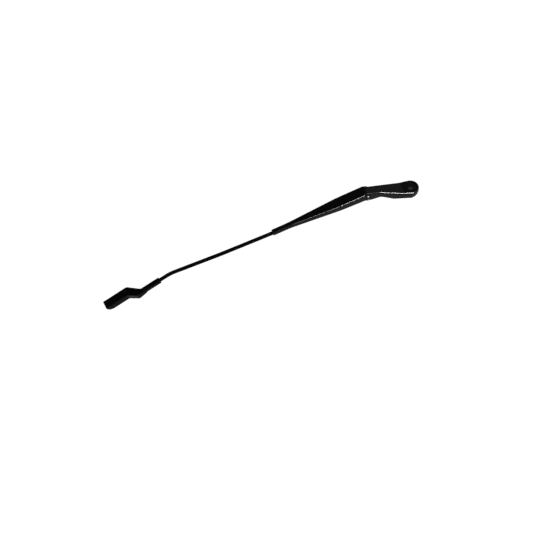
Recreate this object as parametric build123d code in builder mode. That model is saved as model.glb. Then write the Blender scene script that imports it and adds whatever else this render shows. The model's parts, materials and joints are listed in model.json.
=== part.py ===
"""Front wiper arm: cast mounting head, sprung sheet-metal channel, bent rod and folded blade carrier.

Millimetres. The origin lies on the wiper spindle's axis, level with the underside of the boss. Z points up
along the spindle, the arm reaches towards -X and droops, and the hinge pin lies along Y.
"""
from build123d import *
from math import acos, atan2, cos, radians, sin, tan
import os

os.makedirs("parts", exist_ok=True)

# Mounting head
boss_radius = 15.4
boss_height = 12.9
nut_recess_radius = 12.2
nut_recess_depth = 3.5
nut_recess_lead = 0.5
bore_radius = 4.1
bore_lead_radius = 5.0
bore_lead_depth = 1.5
hub_radius = 8.0
hub_drop = 3.0
toe_start = 2.0
toe_rise = 6.0
neck_start = 17.0
neck_rise = 9.5
neck_blend = 40.0
sole_reach = 33.0
waist_reach = 54.0
waist_floor = 7.8
underside_blend = 14.0
cheek_reach = 8.0
straight_reach = 22.0
nose_reach = 9.1
head_edge_radius = 2.2
head_wall = 2.8
head_skin = 3.0
rib_thickness = 2.0
rib_count = 2

# Hinge between head and channel
hinge_reach = 79.7
hinge_offset = 6.6
hinge_height = 16.6
hinge_pin_radius = 2.5
rivet_radius = 3.6
rivet_height = 0.9
bush_wall = 0.95
flange_radius = 4.5
flange_thickness = 0.75
running_clearance = 0.03
thrust_clearance = 0.1
press_clearance = 0.02
stop_gap = 0.3

# Arm channel
arm_droop = 17.8
sheet = 1.4
channel_width = 23.0
channel_depth = 16.2
channel_length = 145.4
parallel_length = 49.5
taper_blend = 300.0
middle_depth = 12.8
nose_length = 33.0
channel_edge_radius = 2.2
nose_edge_radius = 4.0
pin_depth = 8.5
panel_start = 4.0
ear_radius = 4.8
wall_start = 7.0
crimp_clearance = 0.05
seam_width = 0.8

# Rod, from the channel's nose to the carrier
rod_radius = 3.5
rod_first_droop = 15.0
rod_first_length = 95.2
rod_second_droop = 12.9
rod_second_length = 99.7
rod_nose_blend = 200.0
rod_bow_blend = 700.0
tip_droop = 19.6
tip_turn = 9.8
tip_blend = 90.0
stub_length = 22.3
tongue_width = 8.0
tongue_thickness = 2.6
tongue_end = 2.9
tongue_length = 9.0
tongue_shoulder = 9.0

# Blade carrier
carrier_sheet = 1.1
barrel_length = 43.0
jog_length = 17.0
jog_shift = 16.4
jog_blend = 7.0
jog_lead = 5.0
jog_lag = 6.0
carrier_width = 16.8
carrier_length = 50.5
carrier_depth = 13.7
carrier_edge_radius = 2.2
carrier_corner_radius = 12.0
rod_end_inset = 3.0
lock_hole_radius = 1.5
lock_hole_inset = 5.5

# Spring, its link and their pin
link_pin_radius = 2.0
link_pin_ahead = 1.5
link_pin_below = 7.5
lug_wall = 1.6
link_width = 6.0
link_thickness = 1.8
link_clearance = 0.5
link_run = 12.0
link_rise = 7.0
link_hole_radius = 1.4
link_end = 3.2
link_reach = 25.0
anchor_reach = 97.0
wire_radius = 0.6
hook_radius = 2.3
hook_shank = 2.2
coil_radius = 3.6
coil_pitch = 2.4
coil_groove = 0.7
coil_sides = 12
wire_sides = 4

# Directions and places that the pieces share
across = Vector(0, 1, 0)


def heading(droop, turn=0.0):
    """Unit direction that droops below the horizontal, turned in plan from -X towards -Y, both in degrees."""
    d = radians(droop)
    t = radians(turn)
    return Vector(-cos(d) * cos(t), -cos(d) * sin(t), -sin(d))


hinge = Vector(-hinge_reach, hinge_offset, hinge_height)
arm_axis = heading(arm_droop)
arm_normal = arm_axis.cross(across) * -1
arm_side = Plane(origin=hinge, x_dir=arm_axis, z_dir=across)
arm_top = Plane(origin=hinge + arm_normal * pin_depth, x_dir=arm_axis, z_dir=arm_normal)


def arm_point(out, up):
    """Point of the arm's middle plane: out along the arm and up from the hinge pin."""
    return hinge + arm_axis * out + arm_normal * up


inner_width = channel_width - 2 * sheet
cheek_width = inner_width - 2 * (flange_thickness + thrust_clearance)
slot_width = link_width + 2 * link_clearance
bush_radius = hinge_pin_radius + running_clearance + bush_wall
rod_height = pin_depth - sheet - crimp_clearance - rod_radius
nose_width = 2 * (rod_radius + crimp_clearance + sheet)
nose_start = panel_start + channel_length
nose_end = nose_start + nose_length

link_pin_place = hinge + Vector(link_pin_ahead, 0, -link_pin_below)
anchor = arm_point(panel_start + anchor_reach, rod_height)
link_axis = (anchor - link_pin_place).normalized()
link_normal = link_axis.cross(across) * -1
link_side = Plane(origin=link_pin_place, x_dir=link_axis, z_dir=across)
anchor_distance = (anchor - link_pin_place).length


# Mounting head
def neck_top(x):
    """Height of the neck's top face at x."""
    return boss_height + (-x - neck_start) * tan(radians(neck_rise))


def boss_tangent(corner, turn):
    """Point where a line from the corner touches the boss, on the side given by turn, 1 or -1."""
    direction = atan2(corner[1], corner[0])
    spread = acos(boss_radius / Vector(*corner).length)
    angle = direction + turn * spread
    return (boss_radius * cos(angle), boss_radius * sin(angle))


cheek_start = -(hinge_reach - cheek_reach)
straight_start = -(hinge_reach - straight_reach)
nose_tip = -(hinge_reach + nose_reach)
back_corner = (straight_start, hinge_offset + cheek_width / 2)
front_corner = (straight_start, hinge_offset - cheek_width / 2)

with BuildSketch() as head_plan:
    with BuildLine():
        back_touch = boss_tangent(back_corner, -1)
        front_touch = boss_tangent(front_corner, 1)
        Polyline(back_touch, back_corner, (nose_tip, back_corner[1]), (nose_tip, front_corner[1]),
                 front_corner, front_touch)
        ThreePointArc(front_touch, (boss_radius, 0), back_touch)
    make_face()

# The stop face lies just under the channel's panel, so the crest is where the neck's slope meets it.
stop_start = arm_point(0, pin_depth - sheet - stop_gap)
stop_slope = tan(radians(arm_droop))
rise_slope = tan(radians(neck_rise))
crest_x = (boss_height - rise_slope * neck_start - stop_start.Z + stop_slope * stop_start.X) / (
    stop_slope + rise_slope)
crest_z = neck_top(crest_x)
nose_top = crest_z + stop_slope * (nose_tip - crest_x)
cheek_floor = link_pin_place.Z - link_pin_radius - lug_wall
nose_floor = hinge_height - bush_radius - lug_wall

with BuildSketch(Plane.XZ) as head_profile:
    with BuildLine():
        Polyline((-toe_start, 0), (boss_radius, toe_rise), (boss_radius, boss_height),
                 (-neck_start, boss_height), (crest_x, crest_z), (nose_tip, nose_top), (nose_tip, nose_floor),
                 (link_pin_place.X - bush_radius, cheek_floor), (cheek_start, cheek_floor),
                 (-waist_reach, waist_floor), (-sole_reach, 0), close=True)
    make_face()
    underside = head_profile.vertices().filter_by_position(Axis.X, -waist_reach, -sole_reach)
    fillet(underside, underside_blend)
    fillet(head_profile.vertices().sort_by_distance((-neck_start, boss_height))[0], neck_blend)

with BuildPart() as head_pocket:
    with BuildSketch():
        add(head_plan.sketch)
        offset(amount=-head_wall)
        pocket_start = cheek_start + slot_width / 2
        pocket_end = -boss_radius
        pocket_middle = (pocket_start + pocket_end) / 2
        with Locations((pocket_middle, 0)):
            Rectangle(pocket_end - pocket_start, 4 * boss_radius, mode=Mode.INTERSECT)
        rib_spacing = (pocket_end - pocket_start) / (rib_count + 1)
        with Locations([(pocket_start + rib_spacing * (n + 1), 0) for n in range(rib_count)]):
            Rectangle(rib_thickness, 4 * boss_radius, mode=Mode.SUBTRACT)
    extrude(amount=crest_z)
    with BuildSketch(Plane.XZ):
        with BuildLine():
            Polyline((0, -hub_drop), (0, neck_top(0) - head_skin), (crest_x, crest_z - head_skin),
                     (crest_x, -hub_drop), close=True)
        make_face()
    extrude(amount=4 * boss_radius, both=True, mode=Mode.INTERSECT)

with BuildPart() as mounting_head:
    with BuildSketch():
        add(head_plan.sketch)
    extrude(amount=crest_z)
    with BuildSketch(Plane.XZ):
        add(head_profile.sketch)
    extrude(amount=4 * boss_radius, both=True, mode=Mode.INTERSECT)
    upper_faces = mounting_head.faces().filter_by(lambda f: f.normal_at().Z > 0.9)
    rim = upper_faces.edges() - upper_faces.edges().filter_by(Axis.Y)
    fillet(rim, head_edge_radius)
    with BuildSketch(Plane.XY.offset(toe_rise)):
        Circle(hub_radius)
    extrude(amount=-(toe_rise + hub_drop))
    with BuildSketch(Plane.XZ):
        with BuildLine():
            Polyline((0, -hub_drop), (bore_lead_radius, -hub_drop), (bore_radius, bore_lead_depth - hub_drop),
                     (bore_radius, boss_height - nut_recess_depth),
                     (nut_recess_radius, boss_height - nut_recess_depth),
                     (nut_recess_radius, boss_height - nut_recess_lead),
                     (nut_recess_radius + nut_recess_lead, boss_height), (0, boss_height), close=True)
        make_face()
    revolve(axis=Axis.Z, mode=Mode.SUBTRACT)
    add(head_pocket.part, mode=Mode.SUBTRACT)
    # Fork for the spring link: open below and in front, roofed by the neck's skin up to the channel.
    with BuildSketch(Plane.XZ.offset(-hinge_offset)):
        with BuildLine():
            roof_end = arm_point(panel_start, pin_depth).X + 1.5 * link_thickness
            Polyline((nose_tip, -hub_drop), (cheek_start, -hub_drop),
                     (cheek_start, neck_top(cheek_start) - head_skin),
                     (roof_end, neck_top(roof_end) - head_skin), (roof_end, crest_z), (nose_tip, crest_z),
                     close=True)
        make_face()
    extrude(amount=slot_width / 2, both=True, mode=Mode.SUBTRACT)
    with BuildSketch(Plane.XZ.offset(-hinge_offset)):
        with Locations((hinge.X, hinge.Z)):
            Circle(bush_radius + press_clearance)
        with Locations((link_pin_place.X, link_pin_place.Z)):
            Circle(link_pin_radius + press_clearance)
    extrude(amount=cheek_width, both=True, mode=Mode.SUBTRACT)
mounting_head.part.label = "mounting_head"
export_step(mounting_head.part, "parts/mounting_head.step")


# Hinge bushes, pressed into the head's cheeks from outside
def hinge_bush(side):
    """Flanged bush in the cheek on the given side, 1 for the rear and -1 for the front."""
    cheek_face = Plane(origin=hinge + across * (side * cheek_width / 2), x_dir=(1, 0, 0), z_dir=across * side)
    with BuildPart() as bush:
        with BuildSketch(cheek_face):
            Circle(flange_radius)
        extrude(amount=flange_thickness)
        with BuildSketch(cheek_face):
            Circle(bush_radius)
        extrude(amount=-(cheek_width - slot_width) / 2)
        with BuildSketch(cheek_face.offset(flange_thickness)):
            Circle(hinge_pin_radius + running_clearance)
        extrude(amount=-cheek_width / 2, mode=Mode.SUBTRACT)
    return bush.part


for bush_name, bush_side in (("hinge_bush_front", -1), ("hinge_bush_rear", 1)):
    bush_part = hinge_bush(bush_side)
    bush_part.label = bush_name
    export_step(bush_part, f"parts/{bush_name}.step")

# Hinge pin, riveted over outside both ears of the channel
with BuildPart() as hinge_pin:
    with BuildSketch(arm_side):
        Circle(hinge_pin_radius)
    extrude(amount=channel_width / 2, both=True)
    for rivet_side in (1, -1):
        rivet_face = Plane(origin=hinge + across * (rivet_side * channel_width / 2), x_dir=arm_axis,
                           z_dir=across * rivet_side)
        with BuildSketch(rivet_face):
            Circle(rivet_radius)
        extrude(amount=rivet_height, taper=25)
hinge_pin.part.label = "hinge_pin"
export_step(hinge_pin.part, "parts/hinge_pin.step")

# Pin across the head's fork that carries the spring link
with BuildPart() as link_pin:
    with BuildSketch(link_side):
        Circle(link_pin_radius)
    extrude(amount=cheek_width / 2, both=True)
link_pin.part.label = "link_pin"
export_step(link_pin.part, "parts/link_pin.step")


# Arm channel: one folded sheet, wide at the hinge and crimped round the rod at its nose
def channel_plan(inset, start, end):
    """Plan of the channel between two stations from the hinge pin, narrowed by inset on both sides."""
    half_root = channel_width / 2 - inset
    half_nose = nose_width / 2 - inset
    taper_start = panel_start + parallel_length
    with BuildSketch(mode=Mode.PRIVATE) as plan:
        with BuildLine():
            FilletPolyline((start, half_root), (taper_start, half_root), (nose_start, half_nose),
                           (end, half_nose), radius=taper_blend)
            FilletPolyline((start, -half_root), (taper_start, -half_root), (nose_start, -half_nose),
                           (end, -half_nose), radius=taper_blend)
            Line((start, half_root), (start, -half_root))
            Line((end, half_nose), (end, -half_nose))
        make_face()
    return plan.sketch


cavity_end = nose_start + channel_edge_radius
with BuildPart() as channel_cavity:
    with BuildSketch(arm_top.offset(-sheet)):
        add(channel_plan(sheet, -2 * ear_radius, nose_end))
    extrude(amount=-2 * channel_depth)
    cavity_roof = channel_cavity.faces().sort_by(Axis(hinge, arm_normal))[-1]
    fillet(cavity_roof.edges() - cavity_roof.edges().filter_by(Axis.Y), channel_edge_radius - sheet)
    with BuildSketch(arm_side):
        with Locations(((panel_start - 2 * ear_radius) / 2, 0)):
            Rectangle(panel_start + 2 * ear_radius, 4 * channel_depth)
    extrude(amount=inner_width / 2, both=True)
    with BuildSketch(arm_side):
        with Locations(((cavity_end + nose_end + ear_radius) / 2, 0)):
            Rectangle(nose_end + ear_radius - cavity_end, 4 * channel_depth)
    extrude(amount=channel_width, both=True, mode=Mode.SUBTRACT)

wall_floor = pin_depth - channel_depth
nose_floor_height = pin_depth - nose_width
with BuildPart() as arm_channel:
    with BuildSketch(arm_top):
        add(channel_plan(0, -ear_radius, nose_end))
    extrude(amount=-channel_depth)
    with BuildSketch(arm_side):
        with BuildLine():
            Polyline((wall_start, wall_floor), (0, -ear_radius), (0, ear_radius), (panel_start, pin_depth),
                     (nose_end, pin_depth), (nose_end, nose_floor_height), (nose_start, nose_floor_height))
            ThreePointArc((nose_start, nose_floor_height),
                          ((wall_start + nose_start) / 2, pin_depth - middle_depth), (wall_start, wall_floor))
        make_face()
        Circle(ear_radius)
    extrude(amount=channel_width, both=True, mode=Mode.INTERSECT)
    arm_up = Axis(hinge, arm_normal)
    panel = arm_channel.faces().filter_by(lambda f: f.normal_at().dot(arm_normal) > 0.999).sort_by(arm_up)[-1]
    fillet(panel.edges() - panel.edges().filter_by(Axis.Y), channel_edge_radius)
    nose_bottom = arm_channel.faces().filter_by(lambda f: f.normal_at().dot(arm_normal) < -0.999)
    nose_edges = nose_bottom.sort_by(Axis(hinge, arm_axis))[-1].edges()
    fillet(nose_edges - nose_edges.filter_by(Axis.Y), nose_edge_radius)
    add(channel_cavity.part, mode=Mode.SUBTRACT)
    with BuildSketch(Plane(origin=arm_point(nose_end, rod_height), x_dir=across, z_dir=arm_axis)):
        Circle(rod_radius + crimp_clearance)
    extrude(amount=-2 * nose_length, mode=Mode.SUBTRACT)
    with BuildSketch(arm_side):
        with Locations(((nose_start + nose_end) / 2, rod_height - nose_width / 2)):
            Rectangle(2 * nose_length, nose_width)
    extrude(amount=seam_width / 2, both=True, mode=Mode.SUBTRACT)
    with BuildSketch(arm_side):
        Circle(hinge_pin_radius + press_clearance)
    extrude(amount=channel_width, both=True, mode=Mode.SUBTRACT)
arm_channel.part.label = "arm_channel"
export_step(arm_channel.part, "parts/arm_channel.step")

# Rod: round wire with a flattened, holed tongue for the spring and three gentle bends
tongue_tip = panel_start + anchor_reach - tongue_end
tongue_root = tongue_tip + tongue_length
round_start = tongue_root + tongue_shoulder
tip_axis = heading(tip_droop, tip_turn)
nose_bend = arm_point(nose_end + rod_nose_blend * tan(radians((arm_droop - rod_first_droop) / 2)), rod_height)
bow_bend = nose_bend + heading(rod_first_droop) * rod_first_length
tip_bend = bow_bend + heading(rod_second_droop) * rod_second_length
barrel_start = tip_bend + tip_axis * stub_length
rod_end = barrel_start + tip_axis * (barrel_length - rod_end_inset)
with BuildPart() as arm_rod:
    with BuildLine() as rod_path:
        FilletPolyline(arm_point(round_start, rod_height), nose_bend, bow_bend, tip_bend, rod_end,
                       radius=[rod_nose_blend, rod_bow_blend, tip_blend])
    with BuildSketch(Plane(origin=arm_point(round_start, rod_height), x_dir=across, z_dir=arm_axis)):
        Circle(rod_radius)
    sweep(path=rod_path.line)
    with BuildSketch(Plane(origin=arm_point(round_start, rod_height), x_dir=across, z_dir=arm_axis)):
        Circle(rod_radius)
    with BuildSketch(Plane(origin=arm_point(tongue_root, rod_height), x_dir=across, z_dir=arm_axis)):
        RectangleRounded(tongue_width, tongue_thickness, tongue_thickness / 3)
    loft()
    with BuildSketch(Plane(origin=arm_point(tongue_root, rod_height), x_dir=across, z_dir=arm_axis)):
        RectangleRounded(tongue_width, tongue_thickness, tongue_thickness / 3)
    extrude(amount=-tongue_length)
    with BuildSketch(Plane(origin=anchor, x_dir=arm_axis, z_dir=arm_normal)):
        Circle(link_hole_radius)
    extrude(amount=tongue_thickness, both=True, mode=Mode.SUBTRACT)
arm_rod.part.label = "arm_rod"
export_step(arm_rod.part, "parts/arm_rod.step")

# Blade carrier: one folded sheet, a barrel crimped on the rod, a sideways jog and a downward-open box section
tip_back = Vector(-sin(radians(tip_turn)), cos(radians(tip_turn)), 0)
tip_normal = tip_back.cross(tip_axis)
barrel_half = rod_radius + crimp_clearance + carrier_sheet
tip_side = Plane(origin=barrel_start, x_dir=tip_axis, z_dir=tip_back)
carrier_top = Plane(origin=barrel_start + tip_normal * barrel_half, x_dir=tip_axis, z_dir=tip_normal)
fold_start = barrel_length - jog_lead - jog_blend
box_start = barrel_length + jog_length
carrier_end = box_start + carrier_length
box_front = carrier_width / 2 - jog_shift
box_back = -carrier_width / 2 - jog_shift
box_floor = barrel_half - carrier_depth

with BuildSketch() as carrier_plan:
    with BuildLine():
        FilletPolyline((fold_start, barrel_half), (barrel_length + jog_lag, barrel_half),
                       (box_start + jog_lag, box_front), (carrier_end, box_front), radius=jog_blend)
        FilletPolyline((fold_start, -barrel_half), (barrel_length - jog_lead, -barrel_half),
                       (box_start, box_back), (carrier_end, box_back), radius=jog_blend)
        Line((fold_start, barrel_half), (fold_start, -barrel_half))
        Line((carrier_end, box_front), (carrier_end, box_back))
    make_face()

with BuildPart() as carrier_cavity:
    with BuildSketch(carrier_top.offset(-carrier_sheet)):
        add(carrier_plan.sketch)
        offset(amount=-carrier_sheet)
        with Locations((carrier_end, -jog_shift)):
            Rectangle(carrier_length, carrier_width - 2 * carrier_sheet)
        with Locations((barrel_length / 2, 0)):
            Rectangle(barrel_length, 4 * jog_shift, mode=Mode.SUBTRACT)
    extrude(amount=-2 * carrier_depth)
    roof = carrier_cavity.faces().sort_by(Axis(barrel_start, tip_normal))[-1]
    fillet(roof.edges() - roof.edges().filter_by(Axis(barrel_start, tip_back)),
           carrier_edge_radius - carrier_sheet)

with BuildPart() as blade_carrier:
    with BuildSketch(carrier_top):
        add(carrier_plan.sketch)
    extrude(amount=-carrier_depth)
    with BuildSketch(tip_side) as carrier_profile:
        with BuildLine():
            Polyline((fold_start, barrel_half), (carrier_end, barrel_half), (carrier_end, box_floor),
                     (barrel_length + jog_blend, box_floor), (fold_start, -barrel_half), close=True)
        make_face()
        end_corners = carrier_profile.vertices().sort_by(Axis.X)[-2:]
        fillet(end_corners.sort_by(Axis.Y)[0], carrier_corner_radius)
    extrude(amount=4 * jog_shift, both=True, mode=Mode.INTERSECT)
    carrier_up = Axis(barrel_start, tip_normal)
    level_faces = blade_carrier.faces().filter_by(lambda f: f.normal_at().dot(tip_normal) > 0.999)
    top_face = level_faces.sort_by(carrier_up)[-1]
    fillet(top_face.edges() - top_face.edges().filter_by(Axis(barrel_start, tip_back)), carrier_edge_radius)
    with BuildSketch(Plane(origin=barrel_start, x_dir=tip_back, z_dir=tip_axis)):
        RectangleRounded(2 * barrel_half, 2 * barrel_half, carrier_edge_radius)
    extrude(amount=fold_start)
    add(carrier_cavity.part, mode=Mode.SUBTRACT)
    with BuildSketch(Plane(origin=barrel_start, x_dir=tip_back, z_dir=tip_axis)):
        Circle(rod_radius + crimp_clearance)
    extrude(amount=barrel_length + carrier_sheet, mode=Mode.SUBTRACT)
    with BuildSketch(tip_side):
        with Locations((barrel_length / 2, -barrel_half)):
            Rectangle(barrel_length + 4 * carrier_sheet, 2 * barrel_half)
    extrude(amount=seam_width / 2, both=True, mode=Mode.SUBTRACT)
    with BuildSketch(carrier_top):
        with Locations((box_start + lock_hole_inset, -jog_shift)):
            Circle(lock_hole_radius)
    extrude(amount=-2 * carrier_sheet, mode=Mode.SUBTRACT)
blade_carrier.part.label = "blade_carrier"
export_step(blade_carrier.part, "parts/blade_carrier.step")

# Spring link: a steel strip curled round its pin, passing under the hinge pin to the spring's hook
curl_radius = link_pin_radius + running_clearance
curl_outer = curl_radius + link_thickness
link_tip = link_reach + link_end
with BuildPart() as spring_link:
    with BuildSketch(link_side):
        Circle(curl_outer)
        with Locations((curl_outer, curl_outer)):
            Rectangle(2 * curl_outer, 2 * curl_outer, mode=Mode.SUBTRACT)
        with BuildLine():
            Polyline((0, -curl_outer), (link_run, -curl_outer), (link_run + link_rise, -link_thickness / 2),
                     (link_tip, -link_thickness / 2), (link_tip, link_thickness / 2),
                     (link_run + link_rise, link_thickness / 2), (link_run, -curl_radius), (0, -curl_radius),
                     close=True)
        make_face()
        Circle(curl_radius, mode=Mode.SUBTRACT)
    extrude(amount=link_width / 2, both=True)
    tip_corners = spring_link.edges().filter_by(Axis(link_pin_place, link_normal))
    fillet(tip_corners.sort_by(Axis(link_pin_place, link_axis))[-2:], link_width / 3)
    hook_hole = link_pin_place + link_axis * link_reach
    with BuildSketch(Plane(origin=hook_hole, x_dir=link_axis, z_dir=link_normal)):
        Circle(link_hole_radius)
    extrude(amount=link_thickness, both=True, mode=Mode.SUBTRACT)
spring_link.part.label = "spring_link"
export_step(spring_link.part, "parts/spring_link.step")

# Tension spring: close turns as many-sided ridges round one core, with a closed wire eye at each end
coil_start = link_reach + 2 * hook_radius + hook_shank
coil_end = anchor_distance - 2 * hook_radius - hook_shank
turn_count = round((coil_end - coil_start) / coil_pitch)
turn_length = (coil_end - coil_start) / turn_count


def spring_plane(out, facing=1):
    """Plane across the spring's axis, out from the link pin, facing away from it, or with -1 towards it."""
    return Plane(origin=link_pin_place + link_axis * out, x_dir=across, z_dir=link_axis * facing)


with BuildPart() as tension_spring:
    for half_turn in range(2 * turn_count + 1):
        with BuildSketch(spring_plane(coil_start + turn_length * half_turn / 2)):
            RegularPolygon(coil_radius - coil_groove * (1 - half_turn % 2), coil_sides)
    loft(ruled=True)
    for eye_place, coil_face, outward in ((link_reach + hook_radius, coil_start, -1),
                                          (anchor_distance - hook_radius, coil_end, 1)):
        eye_centre = link_pin_place + link_axis * eye_place
        with BuildSketch(Plane(origin=eye_centre, x_dir=link_axis, z_dir=link_normal)):
            with Locations((hook_radius, 0)):
                RegularPolygon(wire_radius, wire_sides)
        revolve(axis=Axis(eye_centre, across))
        with BuildSketch(spring_plane(coil_face, outward)):
            RegularPolygon(wire_radius, wire_sides)
        extrude(amount=hook_shank)
tension_spring.part.label = "tension_spring"
export_step(tension_spring.part, "parts/tension_spring.step")
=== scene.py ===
# %% [markdown]
# # A black wiper arm, dressed for the studio
# The solids of the arm come from CAD at their real size, and this script never moves them. It gives every
# surface its finish, winds the spring from real wire, and sets up a camera, lamps and a floor.
# All lengths are metres. The origin lies on the wiper spindle, Z points up along it, and the arm reaches
# to -X.

# %% Load the frame
import bpy
import json
import numpy as np
from mathutils import Matrix, Vector


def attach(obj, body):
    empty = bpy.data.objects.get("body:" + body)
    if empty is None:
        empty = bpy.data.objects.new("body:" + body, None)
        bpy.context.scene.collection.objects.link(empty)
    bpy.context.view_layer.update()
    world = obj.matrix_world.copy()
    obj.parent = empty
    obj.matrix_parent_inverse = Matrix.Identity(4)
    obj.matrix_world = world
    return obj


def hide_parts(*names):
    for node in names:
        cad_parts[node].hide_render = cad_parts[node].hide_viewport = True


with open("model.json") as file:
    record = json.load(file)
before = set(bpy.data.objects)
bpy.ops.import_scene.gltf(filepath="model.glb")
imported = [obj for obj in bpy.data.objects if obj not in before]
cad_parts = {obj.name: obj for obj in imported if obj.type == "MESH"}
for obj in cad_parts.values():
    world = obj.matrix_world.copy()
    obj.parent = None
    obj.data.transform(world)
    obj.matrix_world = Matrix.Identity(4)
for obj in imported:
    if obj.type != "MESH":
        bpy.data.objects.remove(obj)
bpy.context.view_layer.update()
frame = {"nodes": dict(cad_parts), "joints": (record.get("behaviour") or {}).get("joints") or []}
nodes = frame["nodes"]
joints = {joint["name"]: joint for joint in frame["joints"]}
print("CAD nodes:", sorted(nodes))

# %% [markdown]
# ## Camera
# A product picture is taken from far off with a long lens, so that the far end of the arm does not shrink.
# A camera can be aimed with a Track To constraint, but three named directions are easier to check: right,
# up and forward are worked out from azimuth, elevation and roll, and they become the columns of the
# camera's matrix.

# %% Camera
camera_azimuth = np.radians(-10.99)
camera_elevation = np.radians(54.61)
camera_roll = np.radians(-4.52)
camera_target = np.array([-0.2711, 0.0044, -0.1306])
camera_distance = 3.0
camera_lens = 110.21


def view_axes(azimuth, elevation, roll):
    """Right, up and forward of a camera: azimuth 0 looks along +Y, elevation is above the horizon."""
    right = np.array([np.cos(azimuth), np.sin(azimuth), 0.0])
    level = np.array([-np.sin(azimuth), np.cos(azimuth), 0.0])
    forward = level * np.cos(elevation) - np.array([0, 0, 1.0]) * np.sin(elevation)
    up = np.cross(right, forward)
    return right * np.cos(roll) + up * np.sin(roll), up * np.cos(roll) - right * np.sin(roll), forward


def placed(right, up, forward, place):
    """Matrix of a camera or a lamp that stands at place and faces forward."""
    matrix = np.eye(4)
    matrix[:3, :4] = np.stack([right, up, -forward, place], axis=1)
    return Matrix(matrix.tolist())


camera_right, camera_up, camera_forward = view_axes(camera_azimuth, camera_elevation, camera_roll)
camera_place = camera_target - camera_forward * camera_distance
camera_data = bpy.data.cameras.new("camera")
camera_data.lens = camera_lens
camera_data.clip_end = 100.0
camera = bpy.data.objects.new("camera", camera_data)
bpy.context.scene.collection.objects.link(camera)
camera.matrix_world = placed(camera_right, camera_up, camera_forward, camera_place)
bpy.context.scene.camera = camera
bpy.context.scene.view_settings.view_transform = "Standard"
print("camera stands at", np.round(camera_place, 3))

# %% [markdown]
# ## Shader arithmetic
# A node tree can be drawn by hand, but a formula is shorter to read. This class wraps one socket. Its
# operators add Math nodes, so `1 - mask` is a subtraction in the tree, and `node` adds any other kind of
# node.


# %% Shader arithmetic
class Signal:
    """One output socket of a node tree, with arithmetic."""

    def __init__(self, tree, socket=None):
        self.tree = tree
        self.socket = socket

    def node(self, kind, settings=None, inputs=None, output=0):
        """Adds a node, makes its settings, fills its inputs with values or links, and wraps one output.

        The setting stops gives a ramp's two ends, each as a position and a grey.
        """
        made = self.tree.nodes.new(kind)
        for name, value in (settings or {}).items():
            if name == "stops":
                for element, (position, grey) in zip(made.color_ramp.elements, value):
                    element.position = position
                    element.color = (grey, grey, grey, 1.0)
            else:
                setattr(made, name, value)
        for name, value in (inputs or {}).items():
            if isinstance(value, Signal):
                self.tree.links.new(value.socket, made.inputs[name])
            else:
                made.inputs[name].default_value = value
        return Signal(self.tree, made.outputs[output])

    def math(self, operation, first, second):
        return self.node("ShaderNodeMath", {"operation": operation}, {0: first, 1: second})

    def __add__(self, other):
        return self.math("ADD", self, other)

    def __sub__(self, other):
        return self.math("SUBTRACT", self, other)

    def __mul__(self, other):
        return self.math("MULTIPLY", self, other)

    def __rsub__(self, other):
        return self.math("SUBTRACT", other, self)

    __radd__ = __add__
    __rmul__ = __mul__


# %% Patterns and colours
# A Mix node has sockets for numbers, vectors and colours. These are the numbers of its colour sockets.
mix_first = 6
mix_second = 7
mix_result = 2


def noise(place, size, detail=2.0):
    """Soft noise, 0 to 1, whose blobs are about size metres across."""
    return place.node("ShaderNodeTexNoise", None, {"Vector": place, "Scale": 1 / size, "Detail": detail})


def stretched(place, direction, factor):
    """Coordinates turned so that X runs along direction, then multiplied along it by factor.

    A factor below 1 draws a pattern out into lines along the direction, one above 1 into rings round it.
    """
    turn = Vector(direction).to_track_quat("X", "Z").inverted().to_euler()
    turned = place.node("ShaderNodeMapping", {"vector_type": "POINT"}, {"Vector": place, "Rotation": turn})
    return place.node("ShaderNodeVectorMath", {"operation": "MULTIPLY"},
                      {0: turned, 1: (factor, 1.0, 1.0)})


def tone(signal, dark, light):
    """Colour that runs from dark to light as the signal goes from 0 to 1."""
    return signal.node("ShaderNodeMix", {"data_type": "RGBA"},
                       {"Factor": signal, mix_first: (*dark, 1.0), mix_second: (*light, 1.0)}, mix_result)


print("patterns: noise, stretched noise and a tone between two colours")


# %% Materials
def new_finish(name, **constants):
    """A material with one Principled shader, whose constant sockets are set here.

    Returns the material, its shader and the piece's own coordinates.
    """
    material = bpy.data.materials.new(name)
    material.use_nodes = True
    shader = material.node_tree.nodes["Principled BSDF"]
    for socket, value in constants.items():
        shader.inputs[socket.replace("_", " ")].default_value = value
    place = Signal(material.node_tree).node("ShaderNodeTexCoord", output="Object")
    return material, shader, place


def feed(shader, socket, signal):
    """Links a signal to one of the shader's sockets."""
    signal.tree.links.new(signal.socket, shader.inputs[socket])


def rough_surface(shader, height, depth, strength):
    """Bumps of the given depth in metres, from a height signal of 0 to 1."""
    bumps = height.node("ShaderNodeBump", None, {"Height": height, "Distance": depth, "Strength": strength})
    feed(shader, "Normal", bumps)


print("materials: a shader, its links and its bumps")

# %% [markdown]
# ## Black coat
# Head, channel, rod and carrier carry the same hard black coat, sprayed and baked. Up close such a coat is
# not one colour: it has a fine orange peel, its gloss drifts slowly, and dust leaves tiny pale specks. On
# the casting the coarser skin of the metal shows through, and on drawn or rolled metal faint lines run
# along the piece. The nose of the channel gets a smoother coat, as if the die that rolls it round the rod
# had polished the sheet. A mask could be painted for that, but a ramp along the arm needs no picture.

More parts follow.
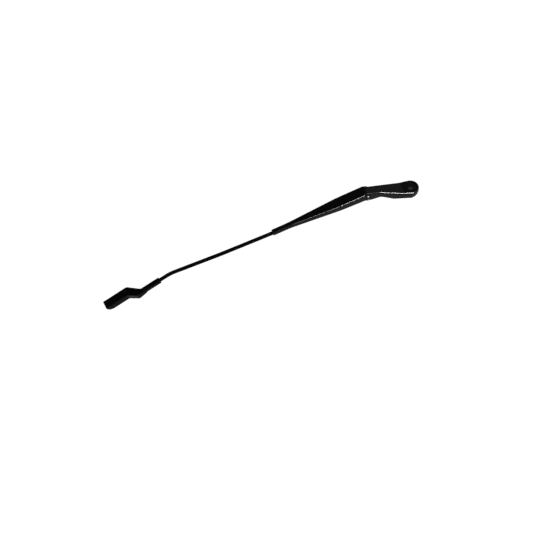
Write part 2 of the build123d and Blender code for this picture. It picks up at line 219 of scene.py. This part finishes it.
# %% Directions along the arm
arm_droop = np.radians(17.8)
tip_droop = np.radians(19.6)
tip_turn = np.radians(9.8)
across = np.array([0, 1.0, 0])
hinge = np.array(joints["arm_lift"]["pos_m"])
arm_axis = np.array([-np.cos(arm_droop), 0, -np.sin(arm_droop)])
arm_normal = -np.cross(arm_axis, across)
tip_level = np.array([-np.cos(tip_turn), -np.sin(tip_turn), 0])
tip_axis = tip_level * np.cos(tip_droop) + np.array([0, 0, -1.0]) * np.sin(tip_droop)
print("the arm runs along", np.round(arm_axis, 3), "and the carrier along", np.round(tip_axis, 3))

# %% Surface under the coat
skin_size = 0.0035
line_size = 0.0007
line_stretch = 0.03
nose_out = 0.1494
ramp_before_nose = 0.014
ramp_end_before_nose = 0.001


def cast_skin(place):
    """Uneven skin of a die casting: broad soft blobs."""
    return noise(place, skin_size)


def drawn_lines(direction):
    """Faint lines along a direction, from rolling or drawing."""
    return lambda place: noise(stretched(place, direction, line_stretch), line_size)


def crimped_nose(place):
    """0 on the channel and 1 on its nose: a ramp in the distance along the arm, just before the nose."""
    along = place.node("ShaderNodeVectorMath", {"operation": "DOT_PRODUCT"}, {0: place, 1: arm_axis}, "Value")
    nose_along = float(np.dot(hinge, arm_axis)) + nose_out
    return place.node("ShaderNodeMapRange", {"clamp": True},
                      {"Value": along, "From Min": nose_along - ramp_before_nose,
                       "From Max": nose_along - ramp_end_before_nose})


print("the nose starts", nose_out, "from the hinge")

# %% Black coat
peel_size = 0.0009
drift_size = 0.03
dust_size = 0.0011
dust_stops = [(0.72, 0.0), (0.80, 1.0)]
drift_roughness = 0.08
dust_roughness = 0.12
die_polish = 0.75


def black_coat(name, dark, light, gloss, mirror, grain, pressed=None):
    """Baked black coat. Tone = drift + dust, roughness = gloss + drift + dust, height = peel + grain.

    gloss is the least roughness, and mirror the shader's specular level, lower on a satin coat. grain is a
    function of the coordinates that gives the metal's own surface under the coat, and pressed is one that
    tells, from 0 to 1, where a die left it smooth.
    """
    material, shader, place = new_finish(name, Specular_IOR_Level=mirror)
    drift = noise(place, drift_size, detail=3.0)
    specks = noise(place, dust_size, detail=1.0)
    dust = place.node("ShaderNodeValToRGB", {"stops": dust_stops}, {"Fac": specks})
    feed(shader, "Base Color", tone(drift * 0.7 + dust * 0.3, dark, light))
    roughness = drift * drift_roughness + dust * dust_roughness + gloss
    if pressed:
        roughness = roughness * (1 - pressed(place) * die_polish)
    feed(shader, "Roughness", roughness)
    height = noise(place, peel_size, detail=1.5) * 0.6 + grain(place) * 0.4
    rough_surface(shader, height, depth=0.000004, strength=0.5)
    return material


# %% Coats of the four pieces
coats = {
    "mounting_head": black_coat("head_coat", dark=(0.002, 0.002, 0.0025), light=(0.006, 0.006, 0.0065),
                                gloss=0.15, mirror=0.09, grain=cast_skin),
    "arm_channel": black_coat("channel_coat", dark=(0.001, 0.001, 0.0015), light=(0.004, 0.004, 0.0045),
                              gloss=0.16, mirror=0.08, grain=drawn_lines(arm_axis), pressed=crimped_nose),
    "arm_rod": black_coat("rod_coat", dark=(0.001, 0.001, 0.001), light=(0.004, 0.004, 0.004),
                          gloss=0.44, mirror=0.02, grain=drawn_lines(arm_axis)),
    "blade_carrier": black_coat("carrier_coat", dark=(0.001, 0.001, 0.0015), light=(0.004, 0.004, 0.0045),
                                gloss=0.28, mirror=0.03, grain=drawn_lines(tip_axis)),
}
print("black coats:", sorted(coats))

# %% [markdown]
# ## Bare metal and polymer
# Inside the channel nothing is painted. Pins are turned steel with rings round their axis, the link is strip
# steel with a dull phosphate coat, the spring is oiled wire, and the bushes are moulded polymer with a fine
# matt grain. Plain colours would do from afar. Each finish gets its own pattern, because the hinge is open
# to view from below. The ends of the hinge pin are riveted and sprayed together with the channel.

# %% Turned steel and phosphated strip
hinge_axis = joints["arm_lift"]["axis"]
mark_size = 0.004
mark_stretch = 12.0
steel_cloud_size = 0.006
crystal_size = 0.0006


def turned_steel(name):
    """Zinc-grey steel with fine turning marks round the hinge's direction."""
    material, shader, place = new_finish(name, Metallic=1.0)
    marks = noise(stretched(place, hinge_axis, mark_stretch), mark_size, detail=3.0)
    clouds = noise(place, steel_cloud_size, detail=3.0)
    feed(shader, "Base Color", tone(clouds, dark=(0.24, 0.24, 0.25), light=(0.40, 0.40, 0.41)))
    feed(shader, "Roughness", marks * 0.15 + 0.28)
    rough_surface(shader, marks, depth=0.00002, strength=0.4)
    return material


def phosphated_strip(name):
    """Dull grey crystals, a few tenths of a millimetre across, each with its own tone."""
    material, shader, place = new_finish(name, Metallic=0.85)
    crystals = place.node("ShaderNodeTexVoronoi", None, {"Vector": place, "Scale": 1 / crystal_size}, "Color")
    grey = crystals.node("ShaderNodeRGBToBW", None, {"Color": crystals})
    feed(shader, "Base Color", tone(grey, dark=(0.15, 0.15, 0.16), light=(0.30, 0.30, 0.30)))
    feed(shader, "Roughness", grey * 0.2 + 0.38)
    rough_surface(shader, grey, depth=0.00002, strength=0.4)
    return material


pin_steel = turned_steel("pin_steel")
link_steel = phosphated_strip("link_steel")
print("made", pin_steel.name, "and", link_steel.name)

# %% Oiled wire and moulded polymer
oil_size = 0.005
wire_grain_size = 0.0004
polymer_cloud_size = 0.004
polymer_grain_size = 0.00035


def oiled_wire(name):
    """Spring wire: dark drawn steel under a film of oil that is thicker in some places."""
    material, shader, place = new_finish(name, Metallic=1.0, Coat_Roughness=0.08)
    oil = noise(place, oil_size, detail=3.0)
    feed(shader, "Base Color", tone(oil, dark=(0.16, 0.155, 0.15), light=(0.34, 0.34, 0.345)))
    feed(shader, "Roughness", oil * 0.16 + 0.22)
    feed(shader, "Coat Weight", oil * 0.5)
    rough_surface(shader, noise(place, wire_grain_size), depth=0.00001, strength=0.5)
    return material


def moulded_polymer(name):
    """Dark bearing polymer with the matt grain of a spark-worn mould."""
    material, shader, place = new_finish(name, Specular_IOR_Level=0.4)
    grain = noise(place, polymer_grain_size)
    clouds = noise(place, polymer_cloud_size)
    feed(shader, "Base Color", tone(clouds, dark=(0.055, 0.055, 0.056), light=(0.10, 0.10, 0.10)))
    feed(shader, "Roughness", grain * 0.2 + 0.45)
    rough_surface(shader, grain, depth=0.00003, strength=0.6)
    return material


spring_wire = oiled_wire("spring_wire")
bush_polymer = moulded_polymer("bush_polymer")
print("made", spring_wire.name, "and", bush_polymer.name)

# %% Finishes on the nodes
finishes = dict(coats, hinge_pin=coats["arm_channel"], link_pin=pin_steel, spring_link=link_steel,
                tension_spring=spring_wire, hinge_bush_front=bush_polymer, hinge_bush_rear=bush_polymer)
for node_name, finish in finishes.items():
    nodes[node_name].data.materials.clear()
    nodes[node_name].data.materials.append(finish)
print("finishes on", len(finishes), "nodes")

# %% [markdown]
# ## Spring
# The real spring is wound from wire, turn against turn, and its last turns close in on the hooks. A Screw
# modifier could wind it, but a formula puts every turn where it belongs. The wire is a circle carried along
# a path: the path gives the middle, and a side direction at each point, square to the path, tells how the
# circle is turned.
# The coil and its near hook swing with the link. The far hook belongs to the rod, and its shank slides in
# the coil, so that the spring can grow longer while the arm is lifted.

# %% Wire along a path
wire_radius = 0.0006
wire_sides = 12


def wire_mesh(name, path, side):
    """Closed tube round a path of n points, with a cap at each end.

    Its points are p + r (cos a * side + sin a * (tangent x side)), for a from 0 to a full turn.
    """
    tangent = np.gradient(path, axis=0)
    tangent /= np.linalg.norm(tangent, axis=1, keepdims=True)
    side = side - tangent * np.sum(side * tangent, axis=1, keepdims=True)
    side /= np.linalg.norm(side, axis=1, keepdims=True)
    third = np.cross(tangent, side)
    turn = np.linspace(0, 2 * np.pi, wire_sides, endpoint=False)[None, :, None]
    rings = path[:, None] + wire_radius * (np.cos(turn) * side[:, None] + np.sin(turn) * third[:, None])
    count = len(path)
    ring, corner = np.meshgrid(np.arange(count - 1), np.arange(wire_sides), indexing="ij")
    here = ring * wire_sides
    following = here + wire_sides
    after = (corner + 1) % wire_sides
    quads = np.stack([here + corner, here + after, following + after, following + corner], axis=-1)
    quads = quads.reshape(-1, 4)
    caps = [list(range(wire_sides))[::-1], list(range((count - 1) * wire_sides, count * wire_sides))]
    mesh = bpy.data.meshes.new(name)
    mesh.from_pydata(rings.reshape(-1, 3).tolist(), [], quads.tolist() + caps)
    mesh.polygons.foreach_set("use_smooth", np.arange(len(mesh.polygons)) < len(quads))
    mesh.update()
    piece = bpy.data.objects.new(name, mesh)
    bpy.context.scene.collection.objects.link(piece)
    piece.data.materials.append(spring_wire)
    print(name, "has", len(quads), "quads")
    return piece


# %% Place and sizes of the spring
link_pin = np.array(joints["link_swing"]["pos_m"])
anchor_out = 0.101
anchor_up = 0.00355
anchor = hinge + arm_axis * anchor_out + arm_normal * anchor_up
spring_length = np.linalg.norm(anchor - link_pin)
spring_axis = (anchor - link_pin) / spring_length
spring_normal = -np.cross(spring_axis, across)
link_reach = 0.025
hook_radius = 0.0023
hook_shank = 0.0022
shank_inside = 0.014
coil_radius = 0.0030
coil_start = link_reach + 2 * hook_radius + hook_shank
coil_end = spring_length - 2 * hook_radius - hook_shank
turn_pitch = 2.1 * wire_radius
closing_turns = 2.0
closed_radius = 2.05 * wire_radius


def spring_point(out, side, up):
    """Points along the spring's axis from the link pin, to the side and up, from three arrays."""
    return (link_pin + np.multiply.outer(out, spring_axis) + np.multiply.outer(side, across)
            + np.multiply.outer(up, spring_normal))


print("the coil is", round(coil_end - coil_start, 4), "long")

# %% Coil
steps_per_turn = 36


def coil_path():
    """Helix of radius R: (s, R cos t, R sin t), one pitch a turn, with R closing in at both ends."""
    turns = (coil_end - coil_start) / turn_pitch
    t = np.linspace(0, turns, int(turns * steps_per_turn) + 1)
    inward = np.clip(1 - np.minimum(t, turns - t) / closing_turns, 0, 1)
    radius = coil_radius - (coil_radius - closed_radius) * inward ** 2
    angle = 2 * np.pi * t
    side = np.multiply.outer(np.cos(angle), across) + np.multiply.outer(np.sin(angle), spring_normal)
    return spring_point(coil_start + t * turn_pitch, radius * np.cos(angle), radius * np.sin(angle)), side


spring_coil = wire_mesh("spring_coil", *coil_path())

# %% Hooks
loop_angles = np.radians(np.linspace(-140, 120, 48))
blend_steps = np.linspace(0, 1, 14)[1:, None]
blend_pull = 0.9
shank_steps = np.linspace(0, shank_inside, 8)[1:, None]


def hook_path(eye, towards):
    """Open loop about the eye that runs out into a straight shank, towards +1 or -1 along the spring's axis.

    The loop is (c - d R cos a, R sin a) for a from -140 to 120 degrees. A cubic blend leads to the shank.
    """
    a = loop_angles
    loop = np.stack([eye - towards * hook_radius * np.cos(a), hook_radius * np.sin(a)], axis=1)
    leave = towards * hook_radius * np.array([np.sin(a[-1]), towards * np.cos(a[-1])])
    enter = np.array([eye + towards * (hook_radius + hook_shank), 0.0])
    pull_out = loop[-1] + leave * blend_pull
    pull_in = enter - np.array([towards * hook_radius * blend_pull, 0])
    t = blend_steps
    bend = ((1 - t) ** 3 * loop[-1] + 3 * (1 - t) ** 2 * t * pull_out
            + 3 * (1 - t) * t ** 2 * pull_in + t ** 3 * enter)
    shank = shank_steps * np.array([towards, 0.0]) + enter
    flat = np.concatenate([loop, bend, shank])
    return spring_point(flat[:, 0], np.zeros(len(flat)), flat[:, 1]), np.tile(across, (len(flat), 1))


near_hook = wire_mesh("spring_near_hook", *hook_path(link_reach + hook_radius, 1))
far_hook = wire_mesh("spring_far_hook", *hook_path(spring_length - hook_radius, -1))

# %% Spring on its bodies
for piece, body in ((spring_coil, "link"), (near_hook, "link"), (far_hook, "arm")):
    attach(piece, body)
    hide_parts("tension_spring")
    print(piece.name, "rides on", body)

# %% [markdown]
# ## Floor, lamps and world
# A gloss black thing shows little of its own colour. What is seen are reflections: the broad faces mirror
# the dim room, and the rounded edges mirror something bright as thin lines. A photographer stands white
# cards where those edges look, and keeps the light on the thing itself plain. Here two softboxes give the
# light, and two cards are seen only as reflections: one in the front edge of the head and one in the front
# edge of the channel. Light linking shades every other piece from a card, as a black flag does. Only the
# hinge pin, whose ends show beside both edges, mirrors both cards.
# The floor is white paper well below the arm. It glows a little to camera, mirror and glass rays, so that
# it comes out white, and it still takes the arm's soft shadow.

# %% Floor
floor_height = -0.60
floor_half = 30.0
floor_glow = 0.78
fibre_size = 0.02
shown_to = ("Is Camera Ray", "Is Glossy Ray", "Is Transmission Ray")


def paper_floor():
    """One large white square, with faint fibres in the paper."""
    corners = np.array([(-1, -1, 0), (1, -1, 0), (1, 1, 0), (-1, 1, 0)]) * floor_half + (0, 0, floor_height)
    mesh = bpy.data.meshes.new("floor")
    mesh.from_pydata(corners.tolist(), [], [(0, 1, 2, 3)])
    floor = bpy.data.objects.new("floor", mesh)
    bpy.context.scene.collection.objects.link(floor)
    material, shader, place = new_finish("paper", Roughness=0.9, Specular_IOR_Level=0.0,
                                         Emission_Strength=floor_glow)
    fibres = noise(place, fibre_size, detail=4.0)
    feed(shader, "Base Color", tone(fibres, dark=(0.54, 0.54, 0.54), light=(0.56, 0.56, 0.56)))
    camera_ray, glossy_ray, glass_ray = [place.node("ShaderNodeLightPath", output=name) for name in shown_to]
    shown = place.math("MINIMUM", camera_ray + glossy_ray + glass_ray, 1.0)
    feed(shader, "Emission Color", shown)
    mesh.materials.append(material)
    return floor


paper_floor()
print("floor lies at", floor_height)

# %% Lamps
lamp_aim = np.array([-0.16, 0.0, 0.0])


def lamp(name, direction, distance, size, power, mirrored_in=()):
    """Softbox that looks at the arm from a direction. Sizes are in metres and power in watts.

    A card is mirrored in the gloss of the named pieces and lights nothing. The other pieces are shaded
    from it.
    """
    towards = np.array(direction) / np.linalg.norm(direction)
    data = bpy.data.lights.new(name, "AREA")
    data.shape = "RECTANGLE"
    data.size, data.size_y = size
    data.energy = power
    made = bpy.data.objects.new(name, data)
    bpy.context.scene.collection.objects.link(made)
    if mirrored_in:
        made.visible_diffuse = False
        mirrors = bpy.data.collections.new(name + "_mirrors")
        for node_name in mirrored_in:
            mirrors.objects.link(nodes[node_name])
        made.light_linking.receiver_collection = mirrors
    right = np.cross(across, towards)
    right /= np.linalg.norm(right)
    made.matrix_world = placed(right, np.cross(towards, right), -towards, lamp_aim + towards * distance)
    print(name, "stands", distance, "from the arm")


lamp("key_softbox", direction=(0.05, -0.45, 0.88), distance=3.0, size=(4.0, 4.0), power=80.0)
lamp("back_softbox", direction=(0.44, 0.60, 0.67), distance=2.0, size=(0.55, 0.55), power=0.6)
lamp("head_card", direction=(0.14, -0.30, 0.94), distance=6.0, size=(2.4, 1.2), power=6000.0,
     mirrored_in=["mounting_head", "hinge_pin"])
lamp("channel_card", direction=(-0.343, -0.35, 0.872), distance=10.0, size=(0.9, 3.0), power=4000.0,
     mirrored_in=["arm_channel", "hinge_pin"])

# %% World
room_colour = (0.95, 0.97, 1.0, 1.0)
room_strength = 0.12
world = bpy.data.worlds.new("studio")
bpy.context.scene.world = world
world.use_nodes = True
room = world.node_tree.nodes["Background"]
room.inputs["Color"].default_value = room_colour
room.inputs["Strength"].default_value = room_strength
print("the room's strength is", room_strength)
